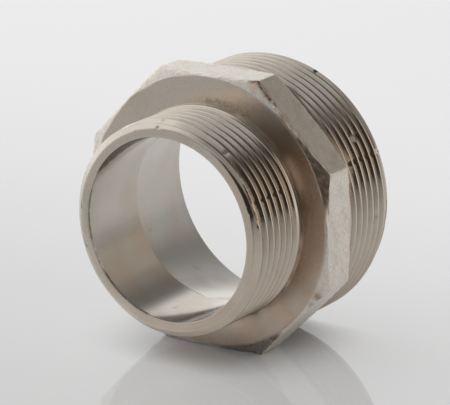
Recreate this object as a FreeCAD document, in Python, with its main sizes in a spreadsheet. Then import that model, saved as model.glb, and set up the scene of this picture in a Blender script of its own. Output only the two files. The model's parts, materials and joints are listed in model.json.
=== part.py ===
import FreeCAD, Part
import math
import os

import Sketcher

# A reducing nipple: one casting, turned at both ends, with a male pipe thread at each end, an
# eight-sided collar between them and a waterway right through. It lies on one flat of its collar.
# Millimetres and degrees. The flow axis is Y and +Z is up. The origin is the centre of the small
# end's face, and the large end is towards +Y. The barrels have the threads' crest diameters.

NODE = "reducing_nipple"
SIDES = 8

# Name and value. Both threads are parallel pipe threads with 11 turns to the inch.
SIZES = [
    ("small_thread_dia", 47.803),
    ("large_thread_dia", 59.614),
    ("thread_depth", 1.479),
    ("thread_flank_angle", 27.5),
    ("lead_chamfer_length", 1.4),
    ("small_end_length", 15.9),
    ("collar_width", 9.2),
    ("large_end_length", 18.4),
    ("shoulder_ring_dia", 48.2),
    ("shoulder_ring_width", 1.0),
    ("last_groove_root_width", 0.2),
    ("across_flats", 61.5),
    ("turned_face_dia", 60.8),
    ("collar_chamfer_angle", 20.0),
    ("bore_dia", 40.8),
    ("bore_length", 18.2),
    ("flare_dia", 52.7),
]

# What follows from the sizes. Lengths run along the flow axis from the small end's face.
DERIVED = [
    ("small_crest_radius", "small_thread_dia / 2"),
    ("small_root_radius", "small_crest_radius - thread_depth"),
    ("large_crest_radius", "large_thread_dia / 2"),
    ("large_root_radius", "large_crest_radius - thread_depth"),
    ("collar_back", "small_end_length + collar_width"),
    ("total_length", "collar_back + large_end_length"),
    ("large_chamfer_start", "total_length - lead_chamfer_length"),
    ("ring_radius", "shoulder_ring_dia / 2"),
    ("ring_start", "small_end_length - shoulder_ring_width"),
    ("ring_foot", "ring_start - (ring_radius - small_root_radius) * tan(thread_flank_angle)"),
    ("groove_root_start", "ring_foot - last_groove_root_width"),
    ("groove_start", "groove_root_start - thread_depth * tan(thread_flank_angle)"),
    ("corner_radius", "across_flats / 2 / cos(%s)" % (180 / SIDES)),
    ("turned_face_radius", "turned_face_dia / 2"),
    ("cutter_radius", "max(corner_radius; turned_face_radius) + 1"),
    ("cutter_rise", "(cutter_radius - turned_face_radius) * tan(collar_chamfer_angle)"),
    ("front_cut_end", "small_end_length + cutter_rise"),
    ("back_cut_start", "collar_back - cutter_rise"),
    ("bore_radius", "bore_dia / 2"),
    ("flare_radius", "flare_dia / 2"),
]


def make_sheet(doc):
    """The spreadsheet of the driving sizes and of what follows from them."""
    sheet = doc.addObject("Spreadsheet::Sheet", "sizes")
    rows = [(name, str(value)) for name, value in SIZES]
    rows += [(name, "=" + formula) for name, formula in DERIVED]
    for row, (name, content) in enumerate(rows, start=1):
        sheet.set("A%d" % row, name)
        sheet.setAlias("B%d" % row, name)
        sheet.set("B%d" % row, content)
    doc.recompute()
    return sheet


def new_sketch(body, role, name):
    """An empty sketch on the body's own origin plane of that role."""
    plane = next(item for item in body.Origin.OriginFeatures if item.Role == role)
    sketch = body.newObject("Sketcher::SketchObject", name)
    sketch.AttachmentSupport = (plane, [""])
    sketch.MapMode = "FlatFace"
    return sketch


def draw_loop(sketch, points):
    """A closed loop of straight lines through the points. Line i starts at point i."""
    count = len(points)
    lines = [sketch.addGeometry(Part.LineSegment(points[i], points[(i + 1) % count]), False)
             for i in range(count)]
    for i, line in enumerate(lines):
        sketch.addConstraint(Sketcher.Constraint("Coincident", line, 2, lines[(i + 1) % count], 1))
    return lines


def bind(sketch, constraint, formula):
    """Adds a dimension to the sketch and ties it to the sheet."""
    number = sketch.addConstraint(constraint)
    sketch.setExpression("Constraints[%d]" % number, formula)


def draw_section(sketch, sheet, corners):
    """A closed section in the plane of the flow axis, for turning.

    Each corner is (along, out): the sheet's names for its place along the flow axis and its
    distance from it, or None where it lies on the small end's face or on the axis itself.
    """
    def value(name):
        return getattr(sheet, name) if name else 0

    points = [FreeCAD.Vector(value(along), value(out), 0) for along, out in corners]
    for line, (along, out) in zip(draw_loop(sketch, points), corners):
        for kind, zero_axis, name in (("DistanceX", -2, along), ("DistanceY", -1, out)):
            if name:
                bind(sketch, Sketcher.Constraint(kind, -1, 1, line, 1, value(name)), "sizes." + name)
            else:
                sketch.addConstraint(Sketcher.Constraint("PointOnObject", line, 1, zero_axis))


def turn(body, kind, sheet, name, corners):
    """A section turned right round the flow axis: a Revolution adds, a Groove cuts."""
    sketch = new_sketch(body, "YZ_Plane", name + "_section")
    draw_section(sketch, sheet, corners)
    feature = body.newObject("PartDesign::" + kind, name)
    feature.Profile = sketch
    feature.ReferenceAxis = (sketch, ["H_Axis"])
    feature.Angle = 360


def add_collar(body, sheet):
    """The eight-sided collar as cast, with a flat at the bottom and one at each side."""
    sketch = new_sketch(body, "XZ_Plane", "collar_outline")
    sketch.setExpression("AttachmentOffset.Base.z", "-sizes.small_end_length")
    radius = sheet.corner_radius
    angles = [math.pi * (2 * side - 1) / SIDES for side in range(SIDES)]
    sides = draw_loop(sketch, [FreeCAD.Vector(radius * math.sin(angle), radius * math.cos(angle), 0)
                               for angle in angles])
    circle = sketch.addGeometry(Part.Circle(FreeCAD.Vector(), FreeCAD.Vector(0, 0, 1), radius), True)
    sketch.addConstraint(Sketcher.Constraint("Coincident", circle, 3, -1, 1))
    for side in sides:
        sketch.addConstraint(Sketcher.Constraint("PointOnObject", side, 1, circle))
    for side in sides[1:]:
        sketch.addConstraint(Sketcher.Constraint("Equal", sides[0], side))
    sketch.addConstraint(Sketcher.Constraint("Horizontal", sides[0]))
    top = Sketcher.Constraint("DistanceY", -1, 1, sides[0], 1, sheet.across_flats / 2)
    bind(sketch, top, "sizes.across_flats / 2")
    collar = body.newObject("PartDesign::Pad", "collar")
    collar.Profile = sketch
    collar.Reversed = True
    collar.setExpression("Length", "sizes.collar_width")


def add_small_end(body, sheet):
    """The small barrel: lead chamfer, crest, and the thread's last groove with the ring after it."""
    turn(body, "Revolution", sheet, "small_end", [
        (None, None),
        (None, "small_root_radius"),
        ("lead_chamfer_length", "small_crest_radius"),
        ("groove_start", "small_crest_radius"),
        ("groove_root_start", "small_root_radius"),
        ("ring_foot", "small_root_radius"),
        ("ring_start", "ring_radius"),
        ("small_end_length", "ring_radius"),
        ("small_end_length", None),
    ])


def add_large_end(body, sheet):
    """The large barrel, which leaves the collar at its crest size and ends in a lead chamfer."""
    turn(body, "Revolution", sheet, "large_end", [
        ("collar_back", None),
        ("collar_back", "large_crest_radius"),
        ("large_chamfer_start", "large_crest_radius"),
        ("total_length", "large_root_radius"),
        ("total_length", None),
    ])


def cut_collar_corners(body, sheet):
    """The shallow cones that facing leaves on the collar's corners, in front and behind."""
    turn(body, "Groove", sheet, "front_corners", [
        ("small_end_length", "turned_face_radius"),
        ("small_end_length", "cutter_radius"),
        ("front_cut_end", "cutter_radius"),
    ])
    turn(body, "Groove", sheet, "back_corners", [
        ("collar_back", "turned_face_radius"),
        ("back_cut_start", "cutter_radius"),
        ("collar_back", "cutter_radius"),
    ])


def cut_waterway(body, sheet):
    """The waterway: a straight bore from the small end, then a flare that opens to the large end."""
    turn(body, "Groove", sheet, "waterway", [
        (None, None),
        (None, "bore_radius"),
        ("bore_length", "bore_radius"),
        ("total_length", "flare_radius"),
        ("total_length", None),
    ])


def make_nipple(doc, sheet):
    body = doc.addObject("PartDesign::Body", NODE)
    body.Label = NODE
    body.Placement = FreeCAD.Placement()
    add_collar(body, sheet)
    add_small_end(body, sheet)
    add_large_end(body, sheet)
    doc.recompute()
    blank_volume = body.Shape.Volume
    cut_collar_corners(body, sheet)
    cut_waterway(body, sheet)
    doc.recompute()
    bore_volume = math.pi * sheet.bore_radius ** 2 * sheet.total_length
    if body.Shape.Volume > blank_volume - bore_volume:
        raise RuntimeError("the waterway is not cut right through")
    return body


def check(doc, body):
    """Stops on any failed object, sketch with freedom left, or shape that isn't one valid solid."""
    for item in doc.Objects:
        if {"Invalid", "Error"} & set(item.State):
            raise RuntimeError("%s failed: %s" % (item.Name, item.State))
        if item.TypeId == "Sketcher::SketchObject" and not item.FullyConstrained:
            raise RuntimeError("%s is not fully constrained" % item.Name)
    shape = body.Shape
    if shape.isNull() or not shape.isValid() or len(shape.Solids) != 1:
        raise RuntimeError("%s is not one valid solid" % body.Label)


doc = FreeCAD.newDocument("nipple")
sheet = make_sheet(doc)
body = make_nipple(doc, sheet)
check(doc, body)
os.makedirs("parts", exist_ok=True)
body.Shape.exportStep("parts/%s.step" % body.Label)
print("%s: %.1f mm3, box %s" % (body.Label, body.Shape.Volume, body.Shape.BoundBox))
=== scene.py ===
import json
import math

import bpy
import numpy as np
from mathutils import Matrix, Vector


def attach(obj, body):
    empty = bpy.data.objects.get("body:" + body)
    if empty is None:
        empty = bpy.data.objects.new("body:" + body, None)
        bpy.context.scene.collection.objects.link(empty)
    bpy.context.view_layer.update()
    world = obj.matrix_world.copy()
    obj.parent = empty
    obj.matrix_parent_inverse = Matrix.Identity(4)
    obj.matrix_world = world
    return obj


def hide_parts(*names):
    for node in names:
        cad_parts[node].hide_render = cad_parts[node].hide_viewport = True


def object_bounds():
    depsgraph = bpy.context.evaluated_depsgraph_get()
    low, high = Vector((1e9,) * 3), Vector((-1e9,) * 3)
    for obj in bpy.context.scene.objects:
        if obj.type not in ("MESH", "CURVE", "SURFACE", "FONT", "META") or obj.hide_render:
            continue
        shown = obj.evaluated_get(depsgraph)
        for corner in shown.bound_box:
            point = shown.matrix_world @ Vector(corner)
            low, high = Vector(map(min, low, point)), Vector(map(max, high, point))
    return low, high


# A nickel-plated brass reducing nipple on a glossy white floor. Lengths are in millimetres until
# a mesh, a material or the camera is made. A place on the nipple is given by its turn, the angle
# from the top towards the right as seen from the small end, by its distance along the flow axis
# from the small end's face, and by its distance out from that axis.
NODE = "reducing_nipple"
MM = 0.001

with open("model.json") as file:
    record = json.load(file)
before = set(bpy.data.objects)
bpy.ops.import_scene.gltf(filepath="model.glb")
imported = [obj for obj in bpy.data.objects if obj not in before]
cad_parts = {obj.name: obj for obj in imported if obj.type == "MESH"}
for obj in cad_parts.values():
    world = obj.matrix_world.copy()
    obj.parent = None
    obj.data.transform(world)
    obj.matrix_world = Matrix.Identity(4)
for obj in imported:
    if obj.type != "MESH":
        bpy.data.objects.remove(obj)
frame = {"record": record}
cad_low, cad_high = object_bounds()
mounts = {mount["name"]: mount["dims"] for mount in frame["record"]["mounts"]}

HALF_FLATS = cad_high.x / MM
LENGTH = cad_high.y / MM
FLOOR_HEIGHT = cad_low.z / MM

# The waterway, the two barrels and their pipe threads, with 11 turns to the inch. A thread's
# depth and rounding are the standard shares of its pitch.
BORE_RADIUS = mounts["bore"]["r_mm"]
BORE_LENGTH = mounts["bore"]["length_mm"]
FLARE_RADIUS = 26.35
SMALL_CREST = mounts["small_thread"]["r_mm"]
LARGE_CREST = mounts["large_thread"]["r_mm"]
PITCH = 25.4 / 11
THREAD_DEPTH = 0.640327 * PITCH
THREAD_ROUND = 0.137329 * PITCH
FLANK_ANGLE = math.radians(27.5)
LEAD_LENGTH = 1.4

# Where a crest of each thread passes the top. The small thread's first groove sinks to its full
# depth between two places, in turns from the top.
SMALL_ANCHOR = 3.13 - PITCH * 64 / 360
LARGE_ANCHOR = 29.02 - PITCH * 76 / 360
FIRST_CUT = (-50 / 360, 36 / 360)

# The round bead that the small thread runs into, and the collar.
BEAD_RADIUS = 24.1
BEAD_ROUND = 0.45
BEAD_START = 15.15
BEAD_FOOT = 14.0
BEAD_ROWS = 14
COLLAR_FRONT = 15.9
COLLAR_BACK = 25.1
FACE_RADIUS = 30.4
CORNER_SLOPE = math.tan(math.radians(20))
CORNER_ROUND = 0.5

# Behind the collar the large thread's groove starts this shallow, and sinks over this stretch.
RUN_OUT_DEPTH = 0.15
RUN_OUT = (COLLAR_BACK + 0.2, COLLAR_BACK + 2.4)

# The mesh: columns round the axis, and rows across one turn of a thread, as shares of the pitch.
# The bore has an extra row close to the mouth, because the marks there are small.
SIDES = 8
SIDE_COLUMNS = 44
COLUMNS = SIDES * SIDE_COLUMNS
THREAD_ROWS = (0, 0.061, 0.122, 0.378, 0.439, 0.5, 0.561, 0.622, 0.878, 0.939)
EDGE_STEPS = 3
RIM_ROW = 0.7

# Hollows, each one (turn in degrees, along, out, reach, depth). The pits hold soil.
THREAD_PITS = (
    (355.6, 2.44, 23.6, 0.28, 0.25),
    (355.3, 0.24, 22.6, 0.35, 0.25),
    (36.8, 2.8, 23.6, 0.35, 0.2),
)
THREAD_DENTS = (
    (57.5, 35.8, 29.6, 0.7, 0.45),
    (55.5, 37.3, 29.6, 0.5, 0.3),
    (93.3, 37.8, 29.6, 0.4, 0.35),
    (99.0, 42.3, 29.8, 0.6, 0.4),
    (256.8, 0.6, 23.0, 0.7, 0.3),
)
BRASSY_NICK = (39.7, 16.0, 30.9, 0.8, 0.35)
SOILED_NICKS = (
    (118.0, 16.3, 31.2, 0.9, 0.3),
    (123.0, 16.2, 30.9, 0.7, 0.25),
    (147.6, 16.3, 31.5, 0.9, 0.3),
    (28.0, 16.5, 32.0, 0.6, 0.2),
)

# Spots of colour, each one (turn in degrees, along, out, reach).
BORE_SPECKS = (
    (246.0, 21.9, 21.3, 0.45),
    (215.3, 30.7, 23.3, 0.5),
    (234.2, 5.5, 20.4, 0.3),
    (189.8, 8.0, 20.4, 0.3),
)
BORE_CLOUD = (248, 16.5, BORE_RADIUS, 4.5)
# A darker spot at the bead's foot.
FOOT_DARK_SPOT = (79, COLLAR_FRONT, 25.2, 1.8)
GOLDEN_SPOT = (39.7, 16.0, 30.9, 1.1)
BRASS_SPOTS = (
    GOLDEN_SPOT,
    (22.7, 16.6, 32.8, 1.3),
    (28.4, 16.7, 32.0, 0.8),
    (47.0, 16.0, 30.8, 0.6),
    (118.0, 16.3, 31.2, 0.9),
    (147.6, 16.3, 31.5, 0.9),
)

# Stretches along the axis: the line of marks at the mouth as (middle, reach), and the burr on the
# small end's chamfer as (start, end, fade). Its colour reaches a little past its raised metal.
MOUTH_LINE = (0.3, 0.22)
BURR_RAISED = (0.95, 1.25, 0.12)
BURR_COLOURED = (0.9, 1.3, 0.12)
BURR_RADIUS = 22

# The painted shade in the bore just under the rim at the upper left: the turns where it starts and
# ends, how much later it starts deeper inside, and the places along the axis between which it
# fades out.
RIM_SHADE_START = 296
RIM_SHADE_END = 350
RIM_SHADE_SLANT = 21
RIM_SHADE_FADE = (10, 17)

# Arcs round the axis, each one (first turn, last turn, fade, share), with the turns in degrees.
LIP_BITES = ((195, 290, 10, 0.045),)
BURR = ((52, 80, 3, 1.0),)
TORN_EDGE = ((26, 82, 8, 0.14), (110, 160, 8, 0.08))
# Painted shade at the bead's foot.
FOOT_SHADE = ((8, 200, 8, 0.5),)
FACE_STREAKS = ((0, 24, 4, 0.35),)
# Arcs where the face is darker.
FACE_DARKENING = ((36, 50, 14, 0.3), (118, 150, 10, 0.13))
FACE_BROWN = ((52, 195, 24, 0.5), (80, 102, 12, -0.15), (135, 162, 10, 0.25))
# The arc of the face with the painted reflection of the bead.
FACE_REFLECTION = ((57, 67, 7, 0.6),)
MOUTH_SOIL = ((256, 286, 2, 0.7), (196, 235, 2, 1.0))
MOUTH_BARE = ((236, 252, 1.5, 1.0),)
# Painted shade on the small barrel's underside.
BARREL_UNDERSIDE_SHADE = ((142, 172, 14, 0.22),)
EDGE_DARKENING = ((20, 30, 2, 0.75),)
EDGE_WORN = ((42, 80, 4, 0.55),)
# Painted shade on two of the front cones.
CONE_SHADE = ((50, 76, 6, 0.72), (146, 172, 6, 0.6))
CONE_BROWN = ((46, 80, 4, 0.9),)
CAST_BROWN = ((24, 66, 3, 0.2),)

# The camera, fitted to the photograph. It stands this far aside and up from the line that runs
# from the origin in its direction.
IMAGE_WIDTH = 450
FOCAL_PIXELS = 3379.71
SENSOR_WIDTH = 36
CAMERA_AZIMUTH = 33.90
CAMERA_ELEVATION = 16.78
CAMERA_ROLL = math.radians(-0.82)
CAMERA_DISTANCE = 719.5
CAMERA_ASIDE = (12.55, 6.02)

# The tent: its level, what the horizon adds, and the main light with the side that it comes from.
TENT_LEVEL = 0.33
HORIZON_LEVEL = 0.14
HORIZON_HEIGHT = 0.4
MAIN_LEVEL = 0.65
MAIN_LIGHT = (-0.833, 0.236, 0.502)
MAIN_SPREAD = (0.25, 0.8)

# Zones of the tent, each one (azimuth, elevation, start, end): it begins and is full at these
# cosines of the angle from its middle. The cut takes the main light away, the gap dims the tent
# to its share, and the warm zone has the warm colour. A dim zone also has the share that it
# leaves, and a bright one has what it adds.
MAIN_CUT = (165, 45, 0.85, 0.94)
GAP = (105, 62, 0.76, 0.91)
GAP_SHARE = 0.12
WARM_ZONE = (120, 45, 0.6, 0.9)
DIM_ZONES = (
    (-172, 60, 0.88, 0.97, 0.35),
    (-172, 15, 0.93, 0.99, 0.68),
)
BRIGHT_ZONES = (
    (85, 20, 0.80, 0.93, 0.42),
    (-8, 36, 0.94, 0.985, 0.2),
    (147, 25, 0.95, 0.99, 0.12),
)

# The dark opening: its place along the flow axis, and from where to where each edge fades.
OPENING_ALONG = -225
OPENING_LEFT = (-40, 0)
OPENING_RIGHT = (240, 360)
OPENING_TOP = (115, 155)

# The dim card at the back: its corners as azimuth and elevation, and how far away they are.
DIM_BACK = ((-169, 18), (-152.3, 13.5), (-152.3, 21.5), (-169, 28))
DIM_BACK_DISTANCE = 10000

# The floor: half its width, and where along the flow axis its near shade gives way to the far one.
FLOOR_HALF = 4000
FLOOR_FADE = (-200, 220)


def column_turns():
    """The turn of every column. They stand closer together at the collar's corners."""
    side = 2 * math.pi / SIDES
    reach = (HALF_FLATS - CORNER_ROUND) * math.tan(side / 2)
    edge = side / 2 - math.atan(reach / HALF_FLATS)
    corner = [-edge, -edge / 3, edge / 3]
    flat = np.linspace(edge, side - edge, SIDE_COLUMNS - len(corner), endpoint=False)
    one_side = np.concatenate([corner, flat])
    return np.concatenate([one_side + side * (k + 0.5) for k in range(SIDES)])


def collar_radius(turn):
    """How far out the octagon lies, with its corners rounded."""
    side = 2 * math.pi / SIDES
    from_flat = (turn + side / 2) % side - side / 2
    from_corner = side / 2 - np.abs(from_flat)
    flat = HALF_FLATS / np.cos(from_flat)
    centre = (HALF_FLATS - CORNER_ROUND) / math.cos(side / 2)
    inside = CORNER_ROUND ** 2 - (centre * np.sin(from_corner)) ** 2
    corner = centre * np.cos(from_corner) + np.sqrt(np.maximum(inside, 0))
    on_corner = (corner * np.cos(from_flat) < HALF_FLATS) & (inside > 0)
    return np.where(on_corner, corner, flat)


def ridge(top, rounding, across):
    """The height of a ridge with a rounded top and a thread's flanks, so far from its middle."""
    bend = rounding * math.cos(FLANK_ANGLE)
    drop = rounding * (1 - math.sin(FLANK_ANGLE))
    crest = top - rounding + np.sqrt(np.maximum(rounding ** 2 - across ** 2, 0))
    flank = top - drop - (across - bend) / math.tan(FLANK_ANGLE)
    return np.where(across < bend, crest, flank)


def thread_height(laps):
    """The thread's height above its root, so many laps of the thread from a crest."""
    across = np.abs((laps + 0.5) % 1.0 - 0.5) * PITCH
    to_root = PITCH / 2 - across
    root = THREAD_ROUND - np.sqrt(np.maximum(THREAD_ROUND ** 2 - to_root ** 2, 0))
    in_root = to_root < THREAD_ROUND * math.cos(FLANK_ANGLE)
    return np.where(in_root, root, ridge(THREAD_DEPTH, THREAD_ROUND, across))


def smooth_step(value, start, end):
    """0 up to the start, 1 from the end on, and smooth between them."""
    share = np.clip((value - start) / (end - start), 0, 1)
    return share * share * (3 - 2 * share)


def small_radius(turn, along):
    """The small barrel: lead chamfer, thread, and the bead at the collar. The thread's groove
    starts beside the chamfer and soon reaches its full depth."""
    root = SMALL_CREST - THREAD_DEPTH
    laps = (along - SMALL_ANCHOR) / PITCH - turn / (2 * math.pi)
    cut = smooth_step(turn / (2 * math.pi) + np.floor(laps) + 1, *FIRST_CUT)
    thread = root + THREAD_DEPTH - (THREAD_DEPTH - thread_height(laps)) * cut
    lead = root + THREAD_DEPTH * along / LEAD_LENGTH
    bead = ridge(BEAD_RADIUS, BEAD_ROUND, np.maximum(BEAD_START - along, 0))
    return np.maximum(np.minimum(thread, lead), bead)


def large_radius(turn, along):
    """The large barrel: thread, run-out at the collar, and lead chamfer at its end."""
    root = LARGE_CREST - THREAD_DEPTH
    thread = root + thread_height((along - LARGE_ANCHOR) / PITCH - turn / (2 * math.pi))
    lead = root + THREAD_DEPTH * (LENGTH - along) / LEAD_LENGTH
    run_out = root + (THREAD_DEPTH - RUN_OUT_DEPTH) * (1 - smooth_step(along, *RUN_OUT))
    return np.maximum(np.minimum(thread, lead), run_out)


class Skin:
    """The nipple's surface as it is put together from vertices that sections share."""

    def __init__(self):
        self.turns = column_turns()
        self.places = []
        self.index = {}
        self.faces = []
        self.zones = []

    def vertex(self, column, along, out):
        column %= COLUMNS
        key = (column, round(float(along), 4), round(float(out), 4))
        if key not in self.index:
            self.index[key] = len(self.places)
            self.places.append((self.turns[column], float(along), float(out)))
        return self.index[key]

    def face(self, corners, zone):
        corners = [v for k, v in enumerate(corners) if v != corners[k - 1]]
        if len(corners) > 2:
            self.faces.append(corners)
            self.zones.append(zone)

    def bridge(self, first, second, zone):
        """Faces between two closed rows of vertices."""
        for column in range(COLUMNS):
            after = (column + 1) % COLUMNS
            self.face([first[column], first[after], second[after], second[column]], zone)

    def barrel(self, start, end, anchor, radius_at, zone):
        """A threaded stretch, whose rows climb with the thread and are cut off at both ends."""
        rows = len(THREAD_ROWS)
        first = math.floor((start - anchor) / PITCH - 1) * rows
        last = math.ceil((end - anchor) / PITCH) * rows

        def row(number):
            lap, step = divmod(number, rows)
            climb = self.turns / (2 * math.pi)
            along = np.clip(anchor + PITCH * (lap + THREAD_ROWS[step] + climb), start, end)
            out = radius_at(self.turns, along)
            return [self.vertex(k, along[k], out[k]) for k in range(COLUMNS)]

        lines = {number: row(number) for number in range(first, last + rows + 2)}
        for number in range(first, last + 1):
            lower, upper = lines[number], lines[number + 1]
            for column in range(COLUMNS - 1):
                after = column + 1
                self.face([lower[column], lower[after], upper[after], upper[column]], zone)
            past, beyond = lines[number + rows][0], lines[number + rows + 1][0]
            self.face([lower[-1], past, beyond, upper[-1]], zone)

    def level_rows(self, places, radius_at, zone):
        """A stretch of rows that don't climb, each at its place along the axis."""
        rows = []
        for along in places:
            out = radius_at(self.turns, np.full(COLUMNS, along))
            rows.append([self.vertex(k, along, out[k]) for k in range(COLUMNS)])
        for first, second in zip(rows, rows[1:]):
            self.bridge(first, second, zone)

    def section(self, corners, setbacks, counts, zones):
        """A stretch turned from a line of corners. A corner is (along, out), each one number or
        one for every column. Setbacks round the inner corners, and counts divide the runs."""
        points = [np.array(np.broadcast_arrays(*pair, self.turns)[:2], float) for pair in corners]
        lines = [points[0]]
        labels = []
        for k, (count, zone) in enumerate(zip(counts, zones)):
            run = points[k + 1] - points[k]
            length = np.hypot(*run)
            begin = points[k] + run / length * (setbacks[k - 1] if k else 0)
            finish = points[k + 1] - run / length * (setbacks[k] if k < len(setbacks) else 0)
            if k:
                bend = lines[-1]
                for step in range(1, EDGE_STEPS + 1):
                    s = step / EDGE_STEPS
                    lines.append((1 - s) ** 2 * bend + 2 * s * (1 - s) * points[k] + s * s * begin)
                    labels.append(zone if s > 0.5 else zones[k - 1])
            for step in range(1, count + 1):
                lines.append(begin + (finish - begin) * step / count)
                labels.append(zone)
        rows = [[self.vertex(c, line[0][c], line[1][c]) for c in range(COLUMNS)] for line in lines]
        for first, second, label in zip(rows, rows[1:], labels):
            self.bridge(first, second, label)


def build_skin():
    """The whole surface, from the small end over the collar to the large end and back inside."""
    skin = Skin()
    turns = skin.turns
    corner = collar_radius(turns)
    rise = (corner - FACE_RADIUS) * CORNER_SLOPE
    small_root = SMALL_CREST - THREAD_DEPTH
    large_root = LARGE_CREST - THREAD_DEPTH
    skin.barrel(0, BEAD_FOOT, SMALL_ANCHOR, small_radius, "thread")
    skin.level_rows(np.linspace(BEAD_FOOT, BEAD_START, BEAD_ROWS), small_radius, "thread")
    skin.section(
        [(BEAD_START, BEAD_RADIUS),
         (COLLAR_FRONT, BEAD_RADIUS),
         (COLLAR_FRONT, FACE_RADIUS),
         (COLLAR_FRONT + rise, corner),
         (COLLAR_BACK - rise, corner),
         (COLLAR_BACK, FACE_RADIUS),
         (COLLAR_BACK, large_radius(turns, np.full(COLUMNS, COLLAR_BACK)))],
        [0.06, 0.12, 0.15, 0.12, 0.06],
        [3, 14, 4, 14, 3, 2],
        ["turned", "turned", "cast", "cast", "cast", "turned"])
    skin.barrel(COLLAR_BACK, LENGTH, LARGE_ANCHOR, large_radius, "thread")
    skin.section(
        [(LENGTH, large_root),
         (LENGTH, FLARE_RADIUS),
         (BORE_LENGTH, BORE_RADIUS),
         (RIM_ROW, BORE_RADIUS),
         (0, BORE_RADIUS),
         (0, small_root)],
        [0.2, 0.25, 0, 0.15],
        [3, 16, 12, 2, 4],
        ["turned", "bore", "bore", "bore", "turned"])
    return skin


def direction(azimuth, elevation):
    """A unit vector. Azimuth 0 is towards the small end's side and 90 towards the right."""
    azimuth, elevation = math.radians(azimuth), math.radians(elevation)
    return Vector((math.sin(azimuth) * math.cos(elevation),
                   -math.cos(azimuth) * math.cos(elevation),
                   math.sin(elevation)))


def positions(turn, along, out):
    """Places on the nipple as x, y and z."""
    return np.stack([out * np.sin(turn), along, out * np.cos(turn)], axis=-1)


def ripple(points, wave, count, seed):
    """Smooth unevenness between about -1 and 1 with waves of about that length."""
    draw = np.random.default_rng(seed)
    ways = draw.normal(size=(count, 3))
    ways /= np.linalg.norm(ways, axis=1)[:, None]
    rates = 2 * math.pi / (wave * draw.uniform(0.6, 1.6, count))
    shifts = draw.uniform(0, 2 * math.pi, count)
    waves = np.sin(points @ (ways * rates[:, None]).T + shifts)
    return waves.sum(axis=1) / math.sqrt(count)


def between(value, start, end, fade):
    """1 from the start to the end, and fading to 0 on both sides of them."""
    return smooth_step(value, start - fade, start) * (1 - smooth_step(value, end, end + fade))


def bell(value, middle, reach):
    """1 in the middle, and fading to 0 over the reach on both sides of it."""
    return np.exp(-((value - middle) / reach) ** 2)


def inner_radius(along):
    """The waterway's own radius: straight, then flared."""
    return np.interp(along, (BORE_LENGTH, LENGTH), (BORE_RADIUS, FLARE_RADIUS))


def collar_edges(turn, along, out):
    """How far each point of the collar's skin is from the nearest round edge of its flats, and
    from the nearest corner between two of them."""
    corner = collar_radius(turn)
    rise = (corner - FACE_RADIUS) * CORNER_SLOPE
    front = np.abs(along - (COLLAR_FRONT + rise))
    back = np.abs(along - (COLLAR_BACK - rise))
    side = 2 * math.pi / SIDES
    upright = out * (side / 2 - np.abs((turn + side / 2) % side - side / 2))
    return np.hypot(np.minimum(front, back), corner - out), np.hypot(upright, corner - out)


class Places:
    """Where every point of the skin lies, with what the marks are worked out from."""

    def __init__(self, skin):
        self.turn, self.along, self.out = np.array(skin.places).T
        self.degrees = np.degrees(self.turn) % 360
        self.points = positions(self.turn, self.along, self.out)
        self.cast = np.zeros(len(self.points), bool)
        for corners, zone in zip(skin.faces, skin.zones):
            if zone == "cast":
                self.cast[corners] = True
        self.front = self.along < (COLLAR_FRONT + COLLAR_BACK) / 2
        self.inside = self.out < inner_radius(self.along) + 0.1
        self.mouth = bell(self.along, *MOUTH_LINE) * (self.out < BORE_RADIUS + 0.4)
        self.round_edge, self.corner_edge = collar_edges(self.turn, self.along, self.out)
        cone_along = COLLAR_FRONT + (self.out - FACE_RADIUS) * CORNER_SLOPE
        self.cone = self.cast & (np.abs(self.along - cone_along) < 0.12)

    def ripple(self, wave, count, seed):
        return ripple(self.points, wave, count, seed)

    def patches(self, middle, swing, wave, count, seed, most=1.0):
        """Uneven shares that stay between 0 and the most."""
        return np.clip(middle + swing * self.ripple(wave, count, seed), 0, most)

    def near(self, turn, along, out, reach, *rest):
        """1 at a place on the nipple, and fading to 0 over the reach around it. Where a depth
        follows the reach, it isn't used."""
        centre = positions(math.radians(turn), along, out)
        return np.exp(-((self.points - centre) ** 2).sum(axis=1) / reach ** 2)

    def arcs(self, arcs, degrees=None):
        """The sum of some arcs round the axis."""
        degrees = self.degrees if degrees is None else degrees
        return sum(share * between(degrees, *arc) for *arc, share in arcs)

    def burr(self, stretch):
        """The share of the burr on the small end's chamfer."""
        return self.arcs(BURR) * between(self.along, *stretch) * (self.out > BURR_RADIUS)

    def on_face(self, slack, margin):
        """Which points lie on the collar's turned front face, outside the bead."""
        level = np.abs(self.along - COLLAR_FRONT) < slack
        return level & (self.out > BEAD_RADIUS - margin) & ~self.cast


def dent_turned(places):
    """How far each turned point moves out: slight waves, a bitten lip, dents and the burr."""
    shift = np.where(places.inside, 0.002, 0.004) * places.ripple(6, 12, 1)
    lip = (places.along < 0.05) & (np.abs(places.out - SMALL_CREST + THREAD_DEPTH) < 0.1)
    shift -= lip * places.arcs(LIP_BITES) * (1 + places.ripple(1.3, 12, 8))
    for *dent, depth in THREAD_PITS + THREAD_DENTS:
        shift -= depth * places.near(*dent)
    return shift + 0.07 * places.burr(BURR_RAISED) * places.ripple(0.9, 9, 5)


def roughen_cast(places):
    """How far each cast point moves in: a casting's grain, torn edges and nicks. The turns of
    the torn edges aren't brought under 360, so they start at the first column."""
    rough = 0.035 + 0.03 * places.ripple(9, 14, 2) + 0.012 * places.ripple(1.6, 24, 3)
    torn = 0.05 + (0.03 + places.arcs(TORN_EDGE, np.degrees(places.turn))) * places.front
    ragged = bell(places.round_edge, 0, 0.35) * torn * (1 + places.ripple(1.4, 16, 4))
    ragged += 0.03 * bell(places.corner_edge, 0, 0.4) * (1 + places.ripple(2.2, 14, 9))
    for *nick, depth in (BRASSY_NICK,) + SOILED_NICKS:
        ragged += depth * places.near(*nick)
    return np.maximum(rough + ragged, 0)


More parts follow.
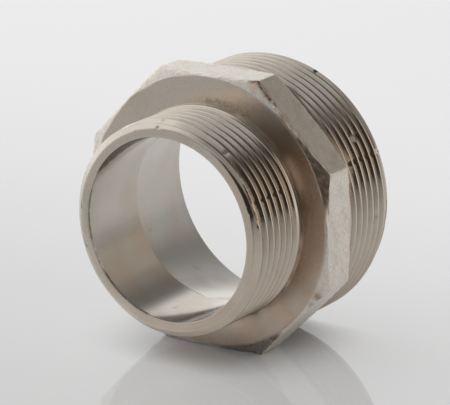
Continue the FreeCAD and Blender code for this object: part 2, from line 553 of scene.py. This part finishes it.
def groove_soil_and_shade(places):
    """Soil in the pits, darkening deep in the threads' grooves that is partly soil and partly
    painted shade, and painted shade low on the small barrel.
    """
    along, out = places.along, places.out
    small = (along > LEAD_LENGTH) & (along < COLLAR_FRONT - 0.1) & (out > SMALL_CREST - 2)
    large = (along > COLLAR_BACK) & (along < LENGTH - LEAD_LENGTH) & (out > LARGE_CREST - 2)
    depth = np.where(small, SMALL_CREST, LARGE_CREST) - out
    deep = np.where(small | large, depth / THREAD_DEPTH, 0)
    # Painted shade, partly soil: darker the deeper into a groove.
    soil_and_shade = 0.3 * smooth_step(deep, 0.6, 1.0) * (0.8 + 0.2 * places.ripple(12, 10, 11))
    soil_and_shade += sum(0.9 * places.near(*pit) for pit in THREAD_PITS)
    return soil_and_shade + small * places.arcs(BARREL_UNDERSIDE_SHADE)


def face_soil_and_shade(places):
    """Darkening on the collar's turned face: painted shade round the bead's foot, a darker spot
    beside it, soil in streaks, and darker patches.
    """
    foot = np.exp(-np.abs(places.out - BEAD_RADIUS) / 0.5)
    foot *= between(places.along, COLLAR_FRONT - 0.1, COLLAR_FRONT + 0.01, 0.05)
    # Painted shade in the corner at the bead's foot.
    soil_and_shade = foot * (0.6 + 0.4 * places.ripple(5, 10, 11)) * places.arcs(FOOT_SHADE)
    streaks = bell(places.out, 25.1, 0.7) * (np.abs(places.along - COLLAR_FRONT) < 0.2)
    soil_and_shade += streaks * places.arcs(FACE_STREAKS) * places.patches(0.4, 1, 1.0, 10, 12)
    # A darker spot at the bead's foot.
    soil_and_shade += 0.3 * places.near(*FOOT_DARK_SPOT) * (places.along > COLLAR_FRONT - 0.1)
    return soil_and_shade + places.on_face(0.1, 0) * places.arcs(FACE_DARKENING)


def bore_soil_and_shade(places):
    """Soil at the mouth, specks, and painted shade under the rim with its slanting edge."""
    soil_and_shade = places.mouth * places.arcs(MOUTH_SOIL) * places.patches(0.8, 0.4, 1.5, 10, 13)
    soil_and_shade += sum(0.25 * places.near(*speck) for speck in BORE_SPECKS)
    # Painted shade under the rim at the upper left.
    edge = RIM_SHADE_START + RIM_SHADE_SLANT * smooth_step(places.along, 0, 9)
    rim_shade = smooth_step(places.degrees - edge, 0, 7) * (places.degrees < RIM_SHADE_END)
    return soil_and_shade + 0.8 * places.inside * rim_shade * (1 - smooth_step(places.along, *RIM_SHADE_FADE))


def cast_soil_and_shade(places):
    """Soil in the nicks, darkening along the collar's front edge, and painted shade on its front
    cones.
    """
    soil_and_shade = places.cast * sum(0.35 * places.near(*nick) for nick in SOILED_NICKS)
    dark_edge = bell(places.round_edge, 0, 0.55) * places.arcs(EDGE_DARKENING)
    soil_and_shade += (places.cast & places.front) * dark_edge * places.patches(1, 0.6, 1.1, 12, 17, 1.4)
    # Painted shade on the cones that turn away from the light.
    soil_and_shade += places.cone * places.arcs(CONE_SHADE) * places.patches(0.95, 0.25, 0.9, 12, 16)
    return soil_and_shade + 0.45 * places.near(*GOLDEN_SPOT)


def bare_metal_and_highlight(places):
    """Bright rubbed metal at the mouth, and on the collar's edges a lightening that is partly
    rubbed metal and partly a painted highlight.
    """
    bare_and_highlight = places.mouth * places.arcs(MOUTH_BARE) * places.patches(0, 1, 1.2, 9, 14)
    edge = bell(np.minimum(places.round_edge, places.corner_edge), 0, 0.3)
    # Painted highlight, partly rubbed metal, along the collar's edges.
    return bare_and_highlight + 0.7 * places.cast * edge * places.patches(0.7, 0.5, 3, 12, 15)


def brown_tarnish(places):
    """Brown tarnish on the turned metal, in a cloud in the bore and on the collar's front."""
    brown = (0.15 + places.arcs(FACE_BROWN)) * np.where(places.on_face(0.3, 0.1), 1.0, 0.6)
    brown *= 1 + 0.2 * places.ripple(6, 10, 21)
    brown = np.where(places.inside, 0.6 * places.near(*BORE_CLOUD), brown)
    brown = np.where(places.cast, places.arcs(CAST_BROWN), brown)
    return np.where(places.cone, places.arcs(CONE_BROWN), brown)


def worn_plating_and_reflection(places):
    """Where the copper colour shows: worn plating in spots, on the front edge and on the burr, and
    a painted reflection of the bead's bright flank on the face.
    """
    # A painted reflection: the bead's bright flank seen in the face.
    worn_and_reflection = bell(places.out, 25.5, 1.3) * places.on_face(0.3, 0.1) * places.arcs(FACE_REFLECTION)
    edge = bell(places.round_edge, 0, 0.4) * places.cast * places.front
    worn_and_reflection += edge * places.arcs(EDGE_WORN) * places.patches(1, 1, 1.5, 12, 18, 1.5)
    worn_and_reflection += sum(places.near(*spot) for spot in BRASS_SPOTS)
    return worn_and_reflection + places.burr(BURR_COLOURED) * places.patches(0.5, 1.5, 0.8, 9, 6)


def shape_mesh(mesh, places):
    """Moves the mesh's points along their normals, and keeps them inside the CAD box."""
    normals = np.zeros(len(places.points) * 3, np.float32)
    mesh.vertices.foreach_get("normal", normals)
    shift = np.where(places.cast, -roughen_cast(places), dent_turned(places))
    shaped = places.points + shift[:, None] * normals.reshape(-1, 3)
    shaped = np.clip(shaped, *np.array([cad_low, cad_high]) / MM)
    mesh.vertices.foreach_set("co", (shaped * MM).astype(np.float32).ravel())


def store_marks(mesh, places):
    """Gives every point its shares of soil and painted shade, bare metal and painted highlight,
    tarnish, and worn plating and painted reflection.
    """
    shares = {
        "soil_and_shade": groove_soil_and_shade(places) + face_soil_and_shade(places) + bore_soil_and_shade(places) + cast_soil_and_shade(places),
        "bare_and_highlight": bare_metal_and_highlight(places),
        "tarnish": brown_tarnish(places),
        "worn_and_reflection": worn_plating_and_reflection(places),
    }
    for name, share in shares.items():
        values = np.clip(share, 0, 1).astype(np.float32)
        mesh.attributes.new(name, "FLOAT", "POINT").data.foreach_set("value", values)


def make_nipple(materials):
    """The nipple as one closed mesh that stands for the CAD node."""
    skin = build_skin()
    places = Places(skin)
    mesh = bpy.data.meshes.new("nipple")
    mesh.from_pydata((places.points * MM).tolist(), [], skin.faces)
    shape_mesh(mesh, places)
    store_marks(mesh, places)
    for material in materials.values():
        mesh.materials.append(material)
    order = list(materials)
    mesh.polygons.foreach_set("material_index", [order.index(zone) for zone in skin.zones])
    mesh.shade_smooth()
    mesh.update()
    piece = bpy.data.objects.new("nipple", mesh)
    bpy.context.scene.collection.objects.link(piece)
    weighted = piece.modifiers.new("weighted_normals", "WEIGHTED_NORMAL")
    weighted.mode = "FACE_AREA"
    weighted.weight = 100
    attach(piece, "root")
    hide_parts(NODE)
    return piece


class Nodes:
    """A material's or world's node tree, with one short call for each node."""

    def __init__(self, owner):
        owner.use_nodes = True
        self.tree = owner.node_tree

    def set(self, node, **inputs):
        """Sets a node's inputs. A name's underscores stand for spaces, a name such as _0 is the
        input's number, and a value may be the output of another node."""
        for name, value in inputs.items():
            socket = node.inputs[int(name[1:]) if name[0] == "_" else name.replace("_", " ")]
            if isinstance(value, bpy.types.NodeSocket):
                self.tree.links.new(value, socket)
            else:
                socket.default_value = value
        return node

    def add(self, kind, settings=None, **inputs):
        node = self.tree.nodes.new("ShaderNode" + kind)
        for name, value in (settings or {}).items():
            setattr(node, name, value)
        return self.set(node, **inputs)

    def math(self, operation, *values):
        node = self.add("Math", {"operation": operation})
        for place, value in enumerate(values):
            self.set(node, **{"_%d" % place: value})
        return node.outputs[0]

    def ramp(self, value, start, end, low=0.0, high=1.0):
        """A value carried smoothly from low at the start to high at the end."""
        node = self.add("MapRange", {"interpolation_type": "SMOOTHSTEP"}, Value=value)
        self.set(node, From_Min=start, From_Max=end, To_Min=low, To_Max=high)
        return node.outputs[0]

    def mix(self, share, first, second):
        """A mix of two colours."""
        node = self.add("Mix", {"data_type": "RGBA"})
        self.set(node, _0=share, _6=first, _7=second)
        return node.outputs[2]

    def noise(self, vector, scale, detail=3.0, roughness=0.5):
        return self.add("TexNoise", Vector=vector, Scale=scale, Detail=detail,
                        Roughness=roughness).outputs["Fac"]

    def attribute(self, name):
        return self.add("Attribute", {"attribute_name": name}).outputs["Fac"]


NICKEL = (0.66, 0.605, 0.535, 1)
NICKEL_WARM = (0.55, 0.465, 0.37, 1)
NICKEL_TURNED = (0.73, 0.665, 0.59, 1)
NICKEL_BORE = (0.59, 0.55, 0.495, 1)
CAST_SHADE = (0.84, 0.79, 0.715, 1)
CAST_LIGHT = (0.96, 0.91, 0.83, 1)
# The dark of soil, also used for painted shade.
SOIL_AND_SHADE_COLOUR = (0.07, 0.045, 0.028, 1)
# Bright bare metal, also used for painted highlights.
BARE_AND_HIGHLIGHT = (0.92, 0.82, 0.70, 1)
# Copper, also the colour of a painted reflection on the face.
COPPER = (0.98, 0.72, 0.52, 1)
TARNISH = (0.64, 0.505, 0.395, 1)
FLOOR_NEAR = (0.31, 0.31, 0.308, 1)
FLOOR_FAR = (0.525, 0.525, 0.53, 1)
GLOW_NEAR = (0.30, 0.30, 0.298, 1)
GLOW_FAR = (0.50, 0.50, 0.504, 1)
TENT_WHITE = (1, 1, 1, 1)
TENT_WARM = (1, 0.91, 0.81, 1)
BACKDROP = (0.9, 0.9, 0.905, 1)


def new_metal(name):
    """A metal material's nodes, its shader and its coordinates in millimetres."""
    material = bpy.data.materials.new(name)
    nodes = Nodes(material)
    shader = nodes.tree.nodes["Principled BSDF"]
    place = nodes.add("TexCoord").outputs["Object"]
    scaled = nodes.add("VectorMath", {"operation": "SCALE"}, _0=place, Scale=1 / MM).outputs[0]
    return material, nodes, shader, scaled


def lathe_vector(nodes, place, fine, around):
    """Coordinates that change fast across the marks of turning and slowly along them."""
    x, y, z = nodes.add("SeparateXYZ", Vector=place).outputs
    square = nodes.math("ADD", nodes.math("MULTIPLY", x, x), nodes.math("MULTIPLY", z, z))
    out = nodes.math("SQRT", square)
    across = nodes.math("MULTIPLY", nodes.math("ADD", out, y), fine)
    side = nodes.math("MULTIPLY", nodes.math("DIVIDE", x, out), around)
    rise = nodes.math("MULTIPLY", nodes.math("DIVIDE", z, out), around)
    return nodes.add("CombineXYZ", X=across, Y=side, Z=rise).outputs[0]


def finish_metal(nodes, shader, colour, roughness, height, depth):
    """The marks over a metal's own colour, painted shade, highlight and reflection among them, and
    its relief, so many millimetres deep.
    """
    soil_and_shade = nodes.attribute("soil_and_shade")
    worn_and_reflection = nodes.attribute("worn_and_reflection")
    colour = nodes.mix(nodes.attribute("tarnish"), colour, TARNISH)
    colour = nodes.mix(worn_and_reflection, colour, COPPER)
    colour = nodes.mix(nodes.attribute("bare_and_highlight"), colour, BARE_AND_HIGHLIGHT)
    dull = nodes.math("ADD", roughness, nodes.math("MULTIPLY", soil_and_shade, 0.35))
    bump = nodes.add("Bump", Strength=1.0, Distance=depth * MM, Height=height)
    metallic = nodes.math("SUBTRACT", 1.0, nodes.math("MULTIPLY", worn_and_reflection, 0.8))
    nodes.set(shader, Base_Color=nodes.mix(soil_and_shade, colour, SOIL_AND_SHADE_COLOUR), Metallic=metallic)
    nodes.set(shader, Roughness=dull, Normal=bump.outputs[0])


def thread_metal():
    """The bright metal of the threads and the bead."""
    material, nodes, shader, place = new_metal("thread")
    lines = nodes.noise(lathe_vector(nodes, place, 5.0, 1.0), 1.0, 4.0)
    cloud = nodes.noise(place, 0.35, 3.0)
    colour = nodes.mix(nodes.ramp(cloud, 0.45, 0.75, 0.0, 0.35), NICKEL, NICKEL_WARM)
    roughness = nodes.ramp(lines, 0.3, 0.8, 0.11, 0.21)
    finish_metal(nodes, shader, colour, roughness, lines, 0.006)
    return material


def turned_metal():
    """The satin metal of the turned faces."""
    material, nodes, shader, place = new_metal("turned")
    lines = nodes.noise(lathe_vector(nodes, place, 2.4, 2.0), 1.0, 3.0, 0.5)
    cloud = nodes.noise(place, 0.12, 4.0)
    grain = nodes.noise(place, 1.8, 3.0, 0.6)
    colour = nodes.mix(nodes.ramp(cloud, 0.45, 0.7, 0.0, 0.3), NICKEL_TURNED, NICKEL_WARM)
    colour = nodes.mix(nodes.ramp(grain, 0.4, 0.7, 0.0, 0.25), colour, NICKEL_WARM)
    roughness = nodes.ramp(cloud, 0.3, 0.7, 0.2, 0.3)
    finish_metal(nodes, shader, colour, roughness, nodes.math("ADD", lines, grain), 0.005)
    return material


def bore_metal():
    """The smoother metal of the waterway."""
    material, nodes, shader, place = new_metal("bore")
    lines = nodes.noise(lathe_vector(nodes, place, 4.0, 4.0), 1.0, 4.0, 0.6)
    cloud = nodes.noise(place, 0.12, 4.0)
    colour = nodes.mix(nodes.ramp(cloud, 0.4, 0.75, 0.0, 0.45), NICKEL_BORE, NICKEL_WARM)
    roughness = nodes.ramp(cloud, 0.3, 0.7, 0.13, 0.18)
    finish_metal(nodes, shader, colour, roughness, lines, 0.002)
    return material


def cast_metal():
    """The matt, speckled skin of the casting."""
    material, nodes, shader, place = new_metal("cast")
    grain = nodes.noise(place, 1.7, 4.0, 0.65)
    cloud = nodes.noise(place, 0.3, 4.0)
    speckle = nodes.ramp(nodes.noise(place, 2.0, 3.0, 0.6), 0.4, 0.62)
    light = nodes.mix(speckle, CAST_SHADE, CAST_LIGHT)
    colour = nodes.mix(nodes.ramp(cloud, 0.5, 0.8, 0.0, 0.4), light, NICKEL_WARM)
    roughness = nodes.ramp(grain, 0.3, 0.7, 0.38, 0.5)
    finish_metal(nodes, shader, colour, roughness, grain, 0.1)
    return material


def make_camera():
    """The camera at the photograph's viewpoint."""
    back = direction(CAMERA_AZIMUTH, CAMERA_ELEVATION)
    azimuth = math.radians(CAMERA_AZIMUTH)
    level = Vector((math.cos(azimuth), math.sin(azimuth), 0))
    rise = back.cross(level)
    right = level * math.cos(CAMERA_ROLL) + rise * math.sin(CAMERA_ROLL)
    up = rise * math.cos(CAMERA_ROLL) - level * math.sin(CAMERA_ROLL)
    camera = bpy.data.objects.new("camera", bpy.data.cameras.new("camera"))
    bpy.context.scene.collection.objects.link(camera)
    camera.data.sensor_width = SENSOR_WIDTH
    camera.data.lens = FOCAL_PIXELS * SENSOR_WIDTH / IMAGE_WIDTH
    camera.data.clip_start = 0.01
    place = (back * CAMERA_DISTANCE + right * CAMERA_ASIDE[0] + up * CAMERA_ASIDE[1]) * MM
    facing = Matrix((right, up, back)).transposed().to_4x4()
    camera.matrix_world = Matrix.Translation(place) @ facing
    bpy.context.scene.camera = camera


def make_sheet(name, corners, material):
    """A flat four-sided piece of the studio."""
    mesh = bpy.data.meshes.new(name)
    mesh.from_pydata([Vector(corner) * MM for corner in corners], [], [(0, 1, 2, 3)])
    mesh.materials.append(material)
    sheet = bpy.data.objects.new(name, mesh)
    bpy.context.scene.collection.objects.link(sheet)
    return sheet


def glow(name, colour, strength):
    """A plain light of one colour, with its nodes and its light's output."""
    material = bpy.data.materials.new(name)
    nodes = Nodes(material)
    nodes.tree.nodes.remove(nodes.tree.nodes["Principled BSDF"])
    light = nodes.add("Emission", Color=(*colour, 1), Strength=strength).outputs[0]
    nodes.set(nodes.tree.nodes["Material Output"], Surface=light)
    return material, nodes, light


def fading_glow(name, colour, strength):
    """The glow of the dark opening. It fades out at the card's left, right and upper edges."""
    material, nodes, light = glow(name, colour, strength)
    place = nodes.add("TexCoord").outputs["Object"]
    place = nodes.add("VectorMath", {"operation": "SCALE"}, _0=place, Scale=1 / MM).outputs[0]
    x, y, z = nodes.add("SeparateXYZ", Vector=place).outputs
    left = nodes.ramp(x, *OPENING_LEFT)
    right = nodes.ramp(x, *OPENING_RIGHT, 1.0, 0.0)
    upper = nodes.ramp(z, *OPENING_TOP, 1.0, 0.0)
    shown = nodes.math("MULTIPLY", nodes.math("MULTIPLY", left, right), upper)
    clear = nodes.add("BsdfTransparent").outputs[0]
    faded = nodes.add("MixShader", _0=shown, _1=clear, _2=light).outputs[0]
    nodes.set(nodes.tree.nodes["Material Output"], Surface=faded)
    return material


def make_floor():
    """A glossy white sheet that pales towards the back. What the camera and the metal see of it
    is partly its own pale glow, and the rest is lit and keeps the nipple's shadow."""
    material = bpy.data.materials.new("floor_white")
    nodes = Nodes(material)
    shader = nodes.tree.nodes["Principled BSDF"]
    place = nodes.add("TexCoord").outputs["Object"]
    along = nodes.add("SeparateXYZ", Vector=place).outputs["Y"]
    back = nodes.ramp(along, FLOOR_FADE[0] * MM, FLOOR_FADE[1] * MM)
    open_sky = nodes.add("AmbientOcclusion", {"samples": 8}, Distance=0.12).outputs["AO"]
    path = nodes.add("LightPath")
    shown = nodes.math("MAXIMUM", path.outputs["Is Camera Ray"], path.outputs["Is Glossy Ray"])
    through = nodes.math("SUBTRACT", 1.0, nodes.add("Fresnel", IOR=1.5).outputs[0])
    shown = nodes.math("MULTIPLY", shown, through)
    # The glow dims where the nipple hems the floor in, a painted contact shadow.
    shown = nodes.math("MULTIPLY", shown, nodes.ramp(open_sky, 0.1, 0.65, 0.07, 1.0))
    nodes.set(shader, Base_Color=nodes.mix(back, FLOOR_NEAR, FLOOR_FAR))
    nodes.set(shader, Emission_Color=nodes.mix(back, GLOW_NEAR, GLOW_FAR))
    nodes.set(shader, Emission_Strength=shown, Roughness=0.03, IOR=1.5)
    ways = [(-1, -1), (1, -1), (1, 1), (-1, 1)]
    corners = [(x * FLOOR_HALF, y * FLOOR_HALF, FLOOR_HEIGHT) for x, y in ways]
    make_sheet("floor", corners, material)


def make_card(name, corners, material):
    """A card that shows only in reflections."""
    card = make_sheet(name, corners, material)
    card.visible_camera = False
    card.visible_shadow = False
    card.visible_diffuse = False


def make_world():
    """A bright tent: a broad main light at the upper left, dim and bright zones, a gap above the
    right side, and a plain pale background for the camera."""
    world = bpy.data.worlds.new("studio")
    nodes = Nodes(world)
    way = nodes.add("TexCoord").outputs["Generated"]

    def towards(side):
        """The cosine of the angle from that side."""
        dot = nodes.add("VectorMath", {"operation": "DOT_PRODUCT"}, _0=way, _1=side)
        return dot.outputs["Value"]

    def zone(azimuth, elevation, start, end, low, high):
        """The low value outside a zone, and the high value in it."""
        return nodes.ramp(towards(direction(azimuth, elevation)), start, end, low, high)

    height = nodes.add("SeparateXYZ", Vector=way).outputs["Z"]
    main = nodes.ramp(towards(MAIN_LIGHT), *MAIN_SPREAD, 0.0, MAIN_LEVEL)
    main = nodes.math("MULTIPLY", main, zone(*MAIN_CUT, 1.0, 0.0))
    level = nodes.math("ADD", TENT_LEVEL, main)
    horizon = nodes.ramp(height, 0.0, HORIZON_HEIGHT, HORIZON_LEVEL, 0.0)
    level = nodes.math("ADD", level, horizon)
    gap = nodes.ramp(zone(*GAP, 0.0, 1.0), 0.0, 1.0, 1.0, GAP_SHARE)
    level = nodes.math("MULTIPLY", level, gap)
    for *place, share in DIM_ZONES:
        level = nodes.math("MULTIPLY", level, zone(*place, 1.0, share))
    for *place, share in BRIGHT_ZONES:
        level = nodes.math("ADD", level, zone(*place, 0.0, share))
    colour = nodes.mix(zone(*WARM_ZONE, 0.0, 1.0), TENT_WHITE, TENT_WARM)
    tent = nodes.add("Background", Color=colour, Strength=level).outputs[0]
    seen = nodes.add("Background", Color=BACKDROP, Strength=1.0).outputs[0]
    camera_ray = nodes.add("LightPath").outputs["Is Camera Ray"]
    shown = nodes.add("MixShader", _0=camera_ray, _1=tent, _2=seen).outputs[0]
    nodes.set(nodes.tree.nodes["World Output"], Surface=shown)
    bpy.context.scene.world = world


def make_studio():
    """The floor, the tent, the dark opening where the camera stands and a dim card at the back."""
    make_floor()
    make_world()
    left, right = OPENING_LEFT[0], OPENING_RIGHT[1]
    low, high = FLOOR_HEIGHT + 1, OPENING_TOP[1]
    places = [(left, low), (right, low), (right, high), (left, high)]
    corners = [(x, OPENING_ALONG, z) for x, z in places]
    make_card("dark_opening", corners, fading_glow("dark_opening", (1, 0.85, 0.7), 0.03))
    corners = [direction(*way) * DIM_BACK_DISTANCE for way in DIM_BACK]
    make_card("dim_back", corners, glow("dim_back", (1, 1, 1), 0.06)[0])


materials = {
    "thread": thread_metal(),
    "turned": turned_metal(),
    "cast": cast_metal(),
    "bore": bore_metal(),
}
make_nipple(materials)
make_camera()
make_studio()
bpy.context.scene.view_settings.view_transform = "Standard"
